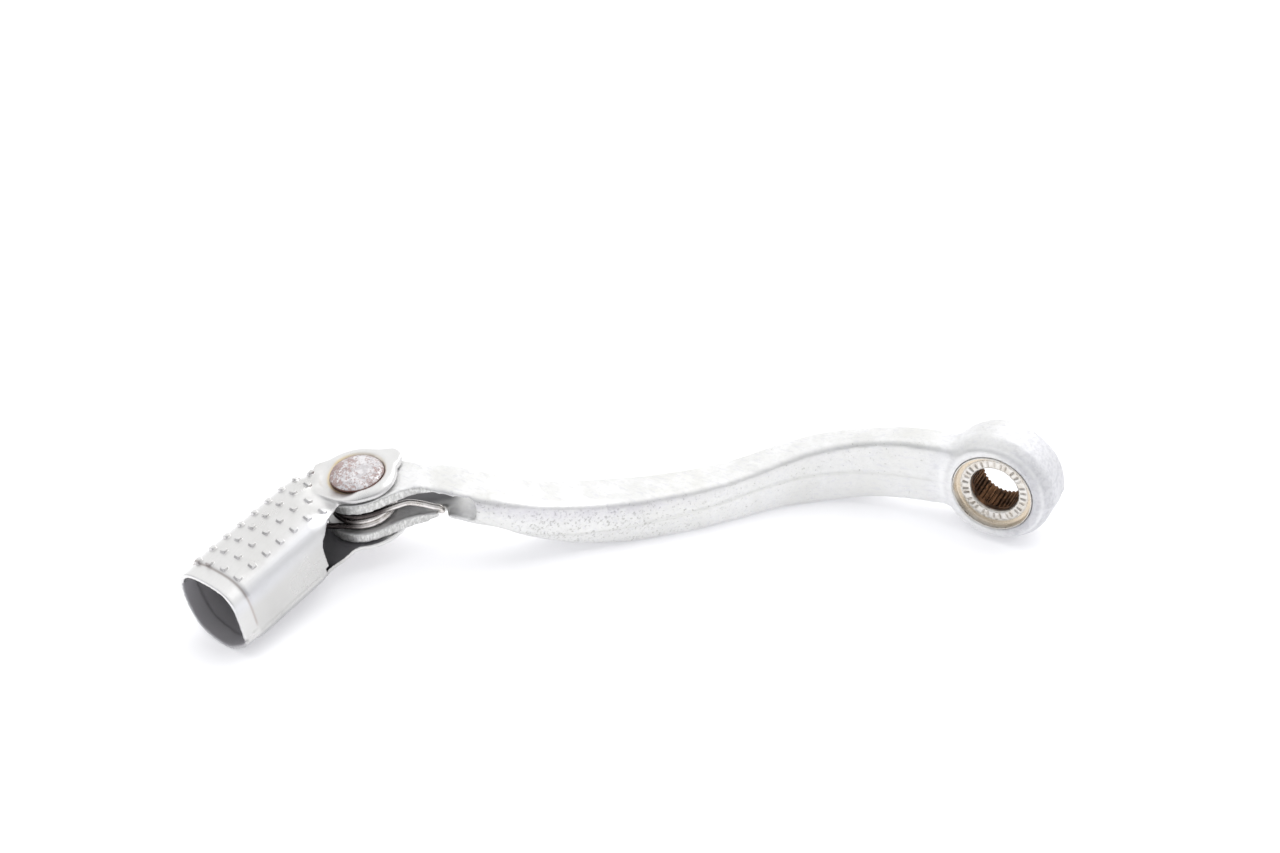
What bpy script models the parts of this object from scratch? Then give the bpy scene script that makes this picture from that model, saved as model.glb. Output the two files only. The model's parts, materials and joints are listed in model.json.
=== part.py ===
"""Motorcycle gear shift lever with a folding, spring-returned toe piece.

Frame: millimetres in the constants, metres in the scene. Y runs along the shift
shaft, -Y is outboard, +X points from the toe towards the shaft, +Z is up. The lever
lies on Z = 0 on its boss, the belly of the arm and the lower corner of the toe tube.
"""
import math

import bmesh
import bpy
from mathutils import Matrix, Vector

MM = 0.001

# Where the shaft axis and the toe pivot sit, measured from the point on the ground
# directly under the middle of the part.
HUB = (57.7, 46.8, 12.0)
PIVOT = (HUB[0] - 110.8, HUB[1] - 62.3, 19.0)
PIN_LEAN = (-0.09, -0.10)
TOE_YAW = 9.5

# Hub boss and its pressed-in splined bush.
BOSS_R = 12.0
BOSS_FRONT = 1.4
BOSS_BACK = -8.6
SEAT_R = 8.5
BUSH_R = 8.3
BUSH_RIM = 1.1
SPLINE_TEETH = 36
SPLINE_MINOR_R = 5.05
SPLINE_MAJOR_R = 5.65
SPLINE_CLEAR_R = 4.7
SPLINE_LEAD = 1.7

# Arm stations from the fork to the boss: x, y from the shaft, middle height,
# overall height and overall width.
ARM = [
    (-104.0, -58.2, 13.5, 9.3, 8.8),
    (-100.8, -56.2, 13.9, 9.3, 9.2),
    (-98.7, -54.9, 14.1, 8.9, 9.4),
    (-96.6, -53.8, 14.3, 7.8, 9.8),
    (-92.3, -53.3, 14.7, 7.3, 10.3),
    (-88.0, -52.6, 14.5, 7.2, 10.6),
    (-84.8, -50.7, 13.4, 7.5, 10.8),
    (-81.8, -48.0, 11.3, 8.7, 10.9),
    (-76.2, -41.8, 8.0, 9.9, 10.8),
    (-70.5, -35.7, 6.0, 10.5, 10.6),
    (-64.0, -30.3, 5.4, 10.7, 10.0),
    (-55.0, -21.9, 5.45, 10.8, 9.0),
    (-49.1, -15.3, 5.6, 11.1, 8.2),
    (-43.2, -8.7, 6.3, 12.5, 7.7),
    (-36.8, -3.2, 7.1, 14.0, 7.6),
    (-29.4, 0.2, 8.6, 14.6, 7.6),
    (-21.2, 1.6, 10.8, 14.6, 7.8),
    (-13.0, 2.6, 11.7, 14.6, 8.0),
    (-5.0, 3.4, 12.0, 14.4, 8.0),
]
ARM_STEPS = 3
# Sections lean with the fork up to this station, and stand upright from the next one.
LEAN_TO = 3
UPRIGHT_FROM = 6
DRAFT = 0.7
EDGE_R = 0.9

# Fork, in the pivot frame: heights are measured along the pin.
FORK_TOP = -1.6
FORK_BOTTOM = -11.4
SLOT_TOP = -4.1
SLOT_BOTTOM = -9.0
LOBE_R = 7.8
FORK_NEAR = [(8.0, 5.2), (10.2, 4.75), (12.4, 4.7)]
FORK_FAR = [(8.0, 5.0), (10.2, 4.0), (12.4, 3.0)]
ARM_ANGLE = 42.5
SLOT_CUTTER_R = 30.0
SLOT_DEPTH = 23.5
FORK_BORE_R = 4.25

# Pin, sleeve and spring.
SLEEVE_R = 4.0
SLEEVE_BORE_R = 3.15
SHANK_R = 2.9
HEAD_R = 5.5
HEAD_BASE = 0.2
HEAD_DOME = 1.7
TAIL_R = 4.6
WIRE_R = 0.62
COIL_R = 5.6
COIL_PITCH = 1.3
COIL_TURNS = 2.035

# Toe piece: pressed sheet, rolled into a tube that opens into two ears.
SHEET = 1.0
TOE_LENGTH = 40.1
COLLAR = 3.5
COLLAR_STEP = 0.4
EAR_R = 8.2
EAR_FLOOR_TOP = -0.2
EAR_FLOOR_UNDER = -1.3
EAR_RIM_TOP = 0.6
LOWER_EAR_TOP = -11.7
LOWER_EAR_UNDER = -12.8
EAR_HOLE_R = 3.1
# Opening in the near side of the tube, seen along the pin frame's x: y and z.
NEAR_NOTCH = [
    (2.0, -1.25), (-10.2, -1.25), (-12.3, -0.95), (-13.9, -1.4), (-15.1, -2.3),
    (-16.2, -3.1), (-16.7, -4.2), (-16.8, -6.3), (-16.7, -8.7), (-16.2, -9.6),
    (-15.6, -11.4), (2.0, -11.4),
]
# Free edge of the lip, from the ear to the tube, closed well outside the tube.
LIP = [(5.0, 0.0), (4.6, -6.6), (3.6, -8.2), (3.7, -11.9), (3.2, -13.8), (3.15, -15.1),
       (3.65, -17.0), (4.5, -18.6), (14.0, -19.1), (14.0, 0.0)]
# Beak that runs from the upper ear over the fork, and its stop bent down behind it.
BEAK = [(-2.7, 7.2), (0.0, 5.5), (5.3, 4.9), (5.2, 6.7), (4.7, 8.0), (4.1, 8.9),
        (3.3, 9.4), (2.3, 9.7), (1.2, 9.6), (0.2, 9.1), (-1.0, 8.3)]
STOP_TAB = [(7.8, 6.2), (7.8, 5.4), (5.4, 6.5), (5.4, 7.3)]
NUB_PITCH = 3.9
NUB_SIZE = 1.2
# Rows of nubs: place across the tube, distance of the outermost nub and how many.
NUB_ROWS = [(1.3, 35.5, 7), (-1.6, 35.6, 7), (-4.7, 36.0, 8), (-7.8, 36.2, 9)]
# Outside of the tube seen from its open end: across and up, from the lower edge of
# the near wall, over the top and round to the lip under the seam.
TUBE = [
    (5.3, -9.4), (5.15, -5.6), (4.8, -2.6), (4.1, -0.4), (2.6, 1.3), (0.4, 2.3),
    (-2.6, 2.8), (-5.6, 2.9), (-8.2, 2.3), (-10.0, 0.9), (-11.0, -1.4),
    (-11.2, -4.5), (-10.8, -7.4), (-9.9, -10.2), (-8.3, -12.5), (-5.9, -13.9),
    (-2.8, -14.75), (-0.4, -14.55), (1.8, -13.5), (3.9, -12.2), (5.0, -11.1), (5.3, -10.0),
]
TUBE_MIDDLE = -6.2


def collection(name):
    """Make a collection under the scene."""
    made = bpy.data.collections.new(name)
    bpy.context.scene.collection.children.link(made)
    return made


for old in list(bpy.data.objects):
    bpy.data.objects.remove(old, do_unlink=True)
PARTS = collection("gear_shift_lever")
TOOLS = collection("tools")


def material(name, colour, roughness, metallic):
    """Make a Principled material."""
    mat = bpy.data.materials.new(name)
    mat.use_nodes = True
    shader = mat.node_tree.nodes["Principled BSDF"]
    shader.inputs["Base Color"].default_value = (*colour, 1.0)
    shader.inputs["Roughness"].default_value = roughness
    shader.inputs["Metallic"].default_value = metallic
    return mat


def pin_up():
    """Direction of the toe's pin."""
    up = Vector((PIN_LEAN[0], PIN_LEAN[1], 0.0))
    up.z = math.sqrt(1.0 - up.length_squared)
    return up


def pin_frame():
    """Frame of the pin: x across the toe, y away from its open end, z up the pin."""
    up = pin_up()
    yaw = math.radians(TOE_YAW)
    out = Vector((-math.sin(yaw), -math.cos(yaw), 0.0))
    out = (out - up * out.dot(up)).normalized()
    side = up.cross(out)
    turn = Matrix((side, -out, up)).transposed().to_4x4()
    return Matrix.Translation(Vector(PIVOT) * MM) @ turn


def hub_frame():
    """Frame of the shaft: z runs outboard along the shaft."""
    turn = Matrix(((1, 0, 0), (0, 0, -1), (0, 1, 0))).to_4x4()
    return Matrix.Translation(Vector(HUB) * MM) @ turn


PIN = pin_frame()
SHAFT = hub_frame()
FORK = PIN @ Matrix.Rotation(math.radians(ARM_ANGLE), 4, "Z")
# The pin's frame turned so that z runs across the toe.
ACROSS = PIN @ Matrix(((0, 0, 1), (1, 0, 0), (0, 1, 0))).to_4x4()


def place(name, mesh, frame=None, tool=False):
    """Add a mesh as an object, as a part or as a hidden cutting tool."""
    obj = bpy.data.objects.new(name, mesh)
    (TOOLS if tool else PARTS).objects.link(obj)
    if frame is not None:
        obj.matrix_world = frame
    if tool:
        obj.hide_render = True
        obj.display_type = "WIRE"
    return obj


def mesh_from(name, bm):
    """Close a bmesh into a mesh with its faces pointing out."""
    bmesh.ops.recalc_face_normals(bm, faces=bm.faces)
    mesh = bpy.data.meshes.new(name)
    bm.to_mesh(mesh)
    bm.free()
    return mesh


def skin(name, rings):
    """Loft a closed body through rings of points given in millimetres."""
    bm = bmesh.new()
    rows = [[bm.verts.new(Vector(p) * MM) for p in ring] for ring in rings]
    count = len(rows[0])
    for low, high in zip(rows, rows[1:]):
        for i in range(count):
            j = (i + 1) % count
            bm.faces.new((low[i], low[j], high[j], high[i]))
    bm.faces.new(rows[0][::-1])
    bm.faces.new(rows[-1])
    return mesh_from(name, bm)


def lathe(name, profile, steps, frame, tool=False):
    """Turn a closed profile of (radius, height) about the frame's z axis."""
    bm = bmesh.new()
    verts = [bm.verts.new((r * MM, 0.0, z * MM)) for r, z in profile]
    for i, (radius, _) in enumerate(profile):
        j = (i + 1) % len(profile)
        if radius > 0.0 or profile[j][0] > 0.0:
            bm.edges.new((verts[i], verts[j]))
    mesh = bpy.data.meshes.new(name)
    bm.to_mesh(mesh)
    bm.free()
    obj = place(name, mesh, frame, tool)
    screw = obj.modifiers.new("turn", "SCREW")
    screw.steps = steps
    screw.render_steps = steps
    screw.use_merge_vertices = True
    screw.merge_threshold = 0.00001
    return obj


def prism(name, outline, low, high, frame, tool=True):
    """Extrude a closed outline between two heights of the frame."""
    rings = [[(x, y, z) for x, y in outline] for z in (low, high)]
    return place(name, skin(name, rings), frame, tool)


def circle(radius, steps, centre=(0.0, 0.0)):
    """Points of a circle."""
    turn = 2.0 * math.pi / steps
    return [(centre[0] + radius * math.cos((i + 0.5) * turn),
             centre[1] + radius * math.sin((i + 0.5) * turn)) for i in range(steps)]


def combine(target, tool, operation):
    """Add an exact Boolean to a part."""
    mod = target.modifiers.new(operation.lower(), "BOOLEAN")
    mod.operation = operation
    mod.object = tool
    mod.solver = "EXACT"


def finish(obj, mat, smooth=True):
    """Give the part its material and shading."""
    obj.data.materials.append(mat)
    for face in obj.data.polygons:
        face.use_smooth = smooth


def spline_points(rows, steps):
    """Run a smooth curve through rows of numbers."""
    out = []
    last = len(rows) - 1
    for i in range(last):
        p0, p1, p2, p3 = (rows[max(0, min(last, i + k))] for k in (-1, 0, 1, 2))
        for k in range(steps):
            t = k / steps
            out.append(tuple(
                0.5 * (2 * b + (c - a) * t + (2 * a - 5 * b + 4 * c - d) * t * t
                       + (3 * b - a - 3 * c + d) * t ** 3)
                for a, b, c, d in zip(p0, p1, p2, p3)))
    out.append(tuple(rows[-1]))
    return out


def arm_section(height, width):
    """Half-drafted forging section: flat top and bottom, widest at the parting."""
    top, half = height / 2.0, width / 2.0
    corner = [(half - DRAFT - EDGE_R, top),
              (half - DRAFT - EDGE_R * 0.3, top - EDGE_R * 0.3),
              (half - DRAFT * 0.75, top - EDGE_R), (half, 0.0)]
    side = corner + [(x, -y) for x, y in corner[-2::-1]]
    return side + [(-x, -y) for x, y in side]


def build_arm():
    """Forged arm: loft, fork head and boss, with the slot and bores cut."""
    rows = spline_points(ARM, ARM_STEPS)
    rings = []
    for i, (x, y, z, height, width) in enumerate(rows):
        before, after = rows[max(0, i - 1)], rows[min(len(rows) - 1, i + 1)]
        along = Vector((after[0] - before[0], after[1] - before[1], 0.0)).normalized()
        side = Vector((along.y, -along.x, 0.0))
        mid = Vector((HUB[0] + x, HUB[1] + y, z))
        place_on = i / ARM_STEPS
        share = (place_on - LEAN_TO) / (UPRIGHT_FROM - LEAN_TO)
        share = min(1.0, max(0.0, share))
        up = pin_up().lerp(Vector((0.0, 0.0, 1.0)), share).normalized()
        side = (side - up * side.dot(up)).normalized()
        rings.append([mid + side * u + up * v
                      for u, v in arm_section(height, width)])
    arm = place("arm", skin("arm", rings))

    head = [(r, -w) for r, w in FORK_NEAR]
    lobe = [p for p in circle(LOBE_R, 40) if p[0] < 3.9]
    lobe.sort(key=lambda p: math.atan2(p[1], p[0]) % (2.0 * math.pi))
    outline = lobe + head + FORK_FAR[::-1]
    fork = prism("fork_head", outline, FORK_BOTTOM, FORK_TOP, FORK)
    boss = lathe("boss", [
        (0.0, BOSS_FRONT), (9.7, BOSS_FRONT), (10.5, 1.0), (11.5, -0.5),
        (BOSS_R, -1.6), (BOSS_R, BOSS_BACK + 0.6), (BOSS_R - 0.6, BOSS_BACK),
        (0.0, BOSS_BACK)], 56, SHAFT, tool=True)
    combine(arm, fork, "UNION")
    combine(arm, boss, "UNION")

    cutter = Matrix.Translation(((SLOT_DEPTH - SLOT_CUTTER_R) * MM, 0.0, 0.0))
    slot = lathe("slot", [
        (0.0, SLOT_TOP), (SLOT_CUTTER_R - 1.1, SLOT_TOP),
        (SLOT_CUTTER_R - 0.3, SLOT_TOP - 0.3), (SLOT_CUTTER_R, SLOT_TOP - 1.1),
        (SLOT_CUTTER_R, SLOT_BOTTOM + 1.1), (SLOT_CUTTER_R - 0.3, SLOT_BOTTOM + 0.3),
        (SLOT_CUTTER_R - 1.1, SLOT_BOTTOM), (0.0, SLOT_BOTTOM)], 96, FORK @ cutter,
        tool=True)
    combine(arm, slot, "DIFFERENCE")
    bore = prism("fork_bore", circle(FORK_BORE_R, 36), -14.0, 1.0, FORK)
    combine(arm, bore, "DIFFERENCE")
    seat = prism("seat_bore", circle(SEAT_R, 56), -12.0, 4.0, SHAFT)
    combine(arm, seat, "DIFFERENCE")
    notch = [(14.5, -6.5), (16.3, -6.5), (16.3, -3.2), (14.5, -3.2)]
    combine(arm, prism("leg_notch", notch, -12.5, -8.0, FORK), "DIFFERENCE")
    finish(arm, material("forged_aluminium", (0.62, 0.62, 0.61), 0.45, 0.9))


def build_bush():
    """Steel bush: raised rim, serrated seat and internal splines."""
    bush = lathe("spline_bush", [
        (SPLINE_MINOR_R + 0.35, 0.0), (7.6, 0.0), (7.75, BUSH_RIM),
        (BUSH_R, BUSH_RIM), (BUSH_R, BOSS_BACK), (SPLINE_MAJOR_R + 0.5, BOSS_BACK),
        (SPLINE_MINOR_R, BOSS_BACK + 0.8), (SPLINE_MINOR_R, -0.4)], 72, SHAFT)
    teeth = []
    for i in range(SPLINE_TEETH):
        for part, radius in ((0.22, SPLINE_CLEAR_R), (0.4, SPLINE_MAJOR_R),
                             (0.72, SPLINE_MAJOR_R), (0.9, SPLINE_CLEAR_R)):
            angle = 2.0 * math.pi * (i + part) / SPLINE_TEETH
            teeth.append((radius * math.cos(angle), radius * math.sin(angle)))
    cutter = prism("spline_cut", teeth, BOSS_BACK - 1.0, -SPLINE_LEAD, SHAFT)
    combine(bush, cutter, "DIFFERENCE")
    finish(bush, material("bush_steel", (0.42, 0.37, 0.31), 0.38, 0.9))


def opened(out, across, high):
    """How far the tube has opened: the top of its far side opens nearer the pin."""
    early = 3.0 * min(1.0, max(0.0, (-1.0 - across) / 5.0)) if high else 0.0
    share = min(1.0, max(0.0, (out - 8.0 + early) / 9.0))
    return share * share * (3.0 - 2.0 * share)


def toe_section(out, grow=0.0):
    """Ribbon of sheet at a distance from the pin: outer path, then the inner one."""
    top = (EAR_RIM_TOP - 0.2 - TUBE_MIDDLE) / (TUBE[7][1] - TUBE_MIDDLE)
    low = (LOWER_EAR_UNDER - TUBE_MIDDLE) / (TUBE[16][1] - TUBE_MIDDLE)
    path = []
    for i, (x, z) in enumerate(TUBE):
        factor = top if z > TUBE_MIDDLE else low
        open_up = opened(out, x, z > TUBE_MIDDLE)
        z = TUBE_MIDDLE + (z - TUBE_MIDDLE) * (factor + (1.0 - factor) * open_up)
        x = -3.0 + (x + 3.0) * (0.86 + 0.14 * open_up)
        if i > 16:
            z = path[16].y + (z - path[16].y) * open_up
        path.append(Vector((x, z, 0.0)))
    path[0].y += 2.0 * (1.0 - opened(out, 0.0, False))
    outer, inner = [], []
    for i, here in enumerate(path):
        step = path[min(len(path) - 1, i + 1)] - path[max(0, i - 1)]
        inward = Vector((-step.y, step.x, 0.0)).normalized()
        outer.append(here + inward * grow)
        inner.append(here + inward * (SHEET + grow))
    return [(p.x, -out, p.y) for p in outer + inner[::-1]]


def build_toe():
    """Pressed toe piece: rolled tube, dished upper ear, lower ear, stop and nubs."""
    places = [(3.0, 0.0), (6.2, 0.0), (9.1, 0.0), (10.6, 0.0), (12.5, 0.0), (14.8, 0.0),
              (17.0, 0.0), (26.0, 0.0), (TOE_LENGTH - COLLAR - 0.4, 0.0),
              (TOE_LENGTH - COLLAR, COLLAR_STEP), (TOE_LENGTH, COLLAR_STEP)]
    toe = place("toe_piece", skin("toe_piece", [toe_section(*p) for p in places]), PIN)

    combine(toe, prism("near_notch", NEAR_NOTCH, 1.6, 14.0, ACROSS), "DIFFERENCE")
    combine(toe, prism("lip_cut", LIP, -16.0, -8.8, PIN), "DIFFERENCE")
    far = [(-14.0, 2.0), (-14.0, -6.5), (-8.0, -6.5), (-8.0, 2.0)]
    combine(toe, prism("far_wall_cut", far, -11.4, -1.4, PIN), "DIFFERENCE")
    combine(toe, prism("ear_clear", circle(7.5, 48), -20.0, 6.0, PIN), "DIFFERENCE")
    fork_clear = prism("fork_clear", circle(8.7, 48), -11.65, -1.35, PIN)
    combine(toe, fork_clear, "DIFFERENCE")
    fold = [(0.6, -7.0), (5.0, -7.0), (5.0, -11.2), (0.6, -10.4)]
    combine(toe, prism("fold_clear", fold, -11.65, -1.45, PIN), "DIFFERENCE")

    ear = lathe("upper_ear", [
        (EAR_HOLE_R, EAR_FLOOR_TOP), (5.9, EAR_FLOOR_TOP), (6.6, EAR_RIM_TOP - 0.25),
        (7.1, EAR_RIM_TOP), (7.7, EAR_RIM_TOP - 0.1), (EAR_R, EAR_RIM_TOP - 0.5),
        (EAR_R, -0.75), (7.8, -0.95), (6.6, EAR_FLOOR_UNDER),
        (EAR_HOLE_R, EAR_FLOOR_UNDER)], 48, PIN, tool=True)
    combine(toe, ear, "UNION")
    under = lathe("lower_ear", [
        (EAR_HOLE_R, LOWER_EAR_TOP), (8.3, LOWER_EAR_TOP), (8.3, LOWER_EAR_UNDER),
        (EAR_HOLE_R, LOWER_EAR_UNDER)], 48, PIN, tool=True)
    combine(toe, under, "UNION")

    combine(toe, prism("beak", BEAK, -0.95, 0.2, PIN), "UNION")
    combine(toe, prism("stop_tab", STOP_TAB, -4.2, -0.45, FORK), "UNION")

    bm = bmesh.new()
    for across, first, count in NUB_ROWS:
        height = 2.9 - 0.035 * (across + 4.6) ** 2 - 0.02 * max(0.0, across) ** 2
        for i in range(count):
            out = first - i * NUB_PITCH
            low = height - 0.7 - (1.0 - opened(out, across, True)) * 2.2
            spot = Matrix.Translation(Vector((across, -out, low + 0.55)) * MM)
            shape = Matrix.Diagonal((NUB_SIZE * MM, NUB_SIZE * MM, 1.3 * MM, 1.0))
            bmesh.ops.create_cube(bm, size=1.0, matrix=spot @ shape)
    nubs = place("nubs", mesh_from("nubs", bm), PIN, tool=True)
    combine(toe, nubs, "UNION")
    finish(toe, material("satin_stainless", (0.66, 0.64, 0.61), 0.3, 1.0))


def build_pivot():
    """Rivet through both ears and the sleeve that lets the toe turn."""
    dome = []
    for i in range(7):
        angle = math.radians(90.0 * i / 6.0)
        dome.append((HEAD_R * math.sin(angle), HEAD_BASE + HEAD_DOME * math.cos(angle)))
    dome[0] = (0.0, HEAD_BASE + HEAD_DOME)
    rivet = lathe("pivot_rivet", dome + [
        (HEAD_R, 0.05), (SHANK_R, 0.05), (SHANK_R, LOWER_EAR_UNDER - 0.2),
        (TAIL_R, LOWER_EAR_UNDER - 0.2), (TAIL_R - 0.3, LOWER_EAR_UNDER - 0.9),
        (2.4, LOWER_EAR_UNDER - 1.5), (0.0, LOWER_EAR_UNDER - 1.6)], 40, PIN)
    finish(rivet, material("rusty_rivet_steel", (0.40, 0.30, 0.26), 0.55, 0.8))
    sleeve = lathe("pivot_sleeve", [
        (SLEEVE_BORE_R, EAR_FLOOR_UNDER - 0.2), (SLEEVE_R, EAR_FLOOR_UNDER - 0.2),
        (SLEEVE_R, LOWER_EAR_TOP + 0.2), (SLEEVE_BORE_R, LOWER_EAR_TOP + 0.2)],
        40, PIN)
    finish(sleeve, material("sleeve_steel", (0.45, 0.43, 0.41), 0.4, 0.9))


def build_spring():
    """Torsion spring: close coils on the sleeve, one leg on the arm, one in the toe."""
    arm_dir = Vector((math.cos(math.radians(ARM_ANGLE)),
                      math.sin(math.radians(ARM_ANGLE)), 0.0))
    near = Vector((arm_dir.y, -arm_dir.x, 0.0))
    low = SLOT_BOTTOM + WIRE_R + 0.1
    top = low + COIL_PITCH * COIL_TURNS
    points = [arm_dir * along + near * across + Vector((0.0, 0.0, height))
              for along, across, height in (
                  (15.3, 4.1, SLOT_BOTTOM - 1.0), (15.3, 4.1, SLOT_BOTTOM + 0.2),
                  (14.9, 4.05, SLOT_BOTTOM + 0.72), (13.9, 4.0, SLOT_BOTTOM + 0.9),
                  (11.6, 4.0, SLOT_BOTTOM + 2.2), (9.0, 4.2, SLOT_BOTTOM + 3.3),
                  (7.0, 4.5, SLOT_BOTTOM + 3.6))]
    start = math.atan2(near.y, near.x)
    steps = round(COIL_TURNS * 18)
    for i in range(steps + 1):
        part = COIL_TURNS * i / steps
        turn = start - 2.0 * math.pi * part
        points.append(Vector((COIL_R * math.cos(turn), COIL_R * math.sin(turn),
                              top - COIL_PITCH * part)))
    last = points[-1]
    tangent = Vector((last.y, -last.x, 0.0)).normalized()
    points.append(last + tangent * 11.0 + Vector((0.0, 0.0, 0.4)))
    curve = bpy.data.curves.new("return_spring", "CURVE")
    curve.dimensions = "3D"
    curve.bevel_depth = WIRE_R * MM
    curve.bevel_resolution = 2
    curve.use_fill_caps = True
    line = curve.splines.new("POLY")
    line.points.add(len(points) - 1)
    for slot, point in zip(line.points, points):
        slot.co = (*(point * MM), 1.0)
    rough = place("spring_curve", curve, PIN)
    bpy.context.view_layer.update()
    graph = bpy.context.evaluated_depsgraph_get()
    mesh = bpy.data.meshes.new_from_object(rough.evaluated_get(graph))
    bpy.data.objects.remove(rough, do_unlink=True)
    bm = bmesh.new()
    bm.from_mesh(mesh)
    bmesh.ops.remove_doubles(bm, verts=bm.verts, dist=0.000001)
    bm.to_mesh(mesh)
    bm.free()
    mesh.name = "return_spring"
    spring = place("return_spring", mesh, PIN)
    finish(spring, material("spring_wire", (0.50, 0.46, 0.42), 0.35, 0.9))


build_arm()
build_bush()
build_toe()
build_pivot()
build_spring()
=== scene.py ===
"""Detailed look of a folding gear shift lever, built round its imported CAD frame.

Everything rides in the row frame. The scene is in metres; the numbers that shape the
pieces are millimetres, in the frame of the toe's pin, of the fork or of the shift shaft.
"""
import json
import math
import random

import bmesh
import bpy
import numpy as np
from mathutils import Matrix, Vector, noise


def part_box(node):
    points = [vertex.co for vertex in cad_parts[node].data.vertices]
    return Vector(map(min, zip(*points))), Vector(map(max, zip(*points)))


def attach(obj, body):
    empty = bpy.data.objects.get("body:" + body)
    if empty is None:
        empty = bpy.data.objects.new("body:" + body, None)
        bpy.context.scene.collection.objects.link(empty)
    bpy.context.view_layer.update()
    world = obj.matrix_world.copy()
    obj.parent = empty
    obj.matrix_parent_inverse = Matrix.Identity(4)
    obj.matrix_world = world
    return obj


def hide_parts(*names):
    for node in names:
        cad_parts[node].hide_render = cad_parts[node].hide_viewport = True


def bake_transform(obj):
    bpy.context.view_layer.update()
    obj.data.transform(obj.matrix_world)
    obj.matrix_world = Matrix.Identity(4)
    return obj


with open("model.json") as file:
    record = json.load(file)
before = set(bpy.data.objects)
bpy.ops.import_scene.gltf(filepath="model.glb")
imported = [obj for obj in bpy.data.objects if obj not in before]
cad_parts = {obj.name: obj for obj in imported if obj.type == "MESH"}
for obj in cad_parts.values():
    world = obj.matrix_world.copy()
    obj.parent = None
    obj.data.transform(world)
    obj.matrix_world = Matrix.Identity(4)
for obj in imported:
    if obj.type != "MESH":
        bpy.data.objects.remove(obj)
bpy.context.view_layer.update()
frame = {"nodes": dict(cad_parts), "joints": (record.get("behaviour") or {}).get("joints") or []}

MM = 0.001
ARM_VOXEL = 0.3
TOE_VOXEL = 0.2
# Voxels with which the rounds of smoothing were chosen.
ARM_TRIED = 0.3
TOE_TRIED = 0.24

# A revolved profile that starts at this radius is closed on its axis.
AXIS_R = 0.02

# The pin's frame: x across the toe, y away from its open end, z up the pin.
FOLD = frame["joints"][0]
TOE_YAW = 9.5
ARM_ANGLE = 42.5

# The arm: ways from the pin and from the shaft, and what stands proud of its skin.
FORK_END = 14.0
BODY_START = 19.0
BOSS_R = 12.8
LUMP = (12.4, 5.0, -1.9)
RIDGE_RISE = 0.14
FLASH_RISE = 0.28
PAD_DEPTH = 0.22
# Slices along the arm in which its thickness is read.
BIN = 2.0
BIN_COUNT = 201

# The steel bush.
BUSH_R = 8.46
BUSH_RIM = 1.1
BUSH_DEEP = -8.6
BUSH_STEPS = 720
SPLINE_TEETH = 36
SPLINE_MINOR_R = 5.05
SPLINE_MAJOR_R = 5.65
SPLINE_LEAD = 1.7
SERRATIONS = 30
SERRATION_DEPTH = 0.26

# The rivet, its sleeve and the spring.
HEAD_R = 5.5
HEAD_TOP = 1.9
HEAD_EDGE = 0.12
HEAD_RINGS = 12
SHANK_R = 2.9
TAIL_R = 4.6
UNDER_EAR = -12.8
SLEEVE_BORE_R = 3.15
SLEEVE_R = 4.0
SLEEVE_TOP = -1.55
SLEEVE_LOW = -11.45
SLEEVE_CHAMFER = 0.2
WIRE_R = 0.62
WIRE_GAP = 0.1
COIL_R = 6.1
COIL_PITCH = 1.27
COIL_TURNS = 2.035
COIL_STEPS = 36
TAIL_SLOPE = 0.036
SLOT_BOTTOM = -9.0
SLOT_TOP = -4.1

# The toe piece.
SHEET = 0.9
TOE_LENGTH = 40.1
COLLAR = 3.5
COLLAR_STEP = 0.42
# Room kept clear round the pin, and the heights between which the fork's plates turn.
EAR_CLEAR_R = 7.5
FORK_CLEAR_R = 8.7
FORK_ROOM = (-11.65, -1.35)
# Opening in the near side of the tube, seen along the pin frame's x: y and z.
NEAR_NOTCH = [
    (2.0, -1.25), (-10.2, -1.25), (-12.3, -0.95), (-13.9, -1.4), (-15.1, -2.3),
    (-16.2, -3.1), (-16.7, -4.2), (-16.8, -6.3), (-16.7, -8.7), (-16.2, -9.6),
    (-15.6, -11.4), (2.0, -11.4),
]
# Free edge of the lip under it, from the ear to the tube, closed well outside it.
LIP = [(5.0, 0.0), (4.6, -6.6), (3.6, -8.2), (3.7, -11.9), (3.2, -13.8), (3.15, -15.1),
       (3.65, -17.0), (4.5, -18.6), (14.0, -19.1), (14.0, 0.0)]
# Beak that runs from the upper ear over the fork, and its stop bent down behind it.
BEAK = [(-2.7, 7.2), (0.0, 5.5), (5.3, 4.9), (5.2, 6.7), (4.7, 8.0), (4.1, 8.9),
        (3.3, 9.4), (2.3, 9.7), (1.2, 9.6), (0.2, 9.1), (-1.0, 8.3)]
STOP_TAB = [(7.8, 6.2), (7.8, 5.4), (5.4, 6.5), (5.4, 7.3)]
NUB_PITCH = 3.9
NUB_RISE = 0.55
NUB_HALF = 0.74
NUB_FLANK = 0.24
# Sheet this near a nub's middle is divided finely.
NUB_NEAR = 1.0
# The nubs stand on the tube's top, above this height.
NUB_FLOOR = -4.5
# Rows of nubs: place across the toe, way of the first from the pin, and how many.
NUB_ROWS = [(1.7, 35.5, 7), (-1.6, 35.6, 7), (-4.95, 36.0, 8), (-7.9, 36.2, 9)]
TUBE = [
    (5.3, -9.4), (5.15, -5.6), (4.8, -2.6), (4.1, -0.4), (2.6, 1.3), (0.4, 2.3),
    (-2.6, 2.8), (-5.6, 2.9), (-8.2, 2.3), (-10.0, 0.9), (-11.0, -1.4),
    (-11.2, -4.5), (-10.8, -7.4), (-9.9, -10.2), (-8.3, -12.5), (-5.9, -13.9),
    (-2.8, -14.75), (-0.4, -14.55), (1.8, -13.5), (3.9, -12.2), (5.0, -11.1), (5.3, -10.0),
]
TUBE_MIDDLE = -6.2
TUBE_ACROSS = -3.0
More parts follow.
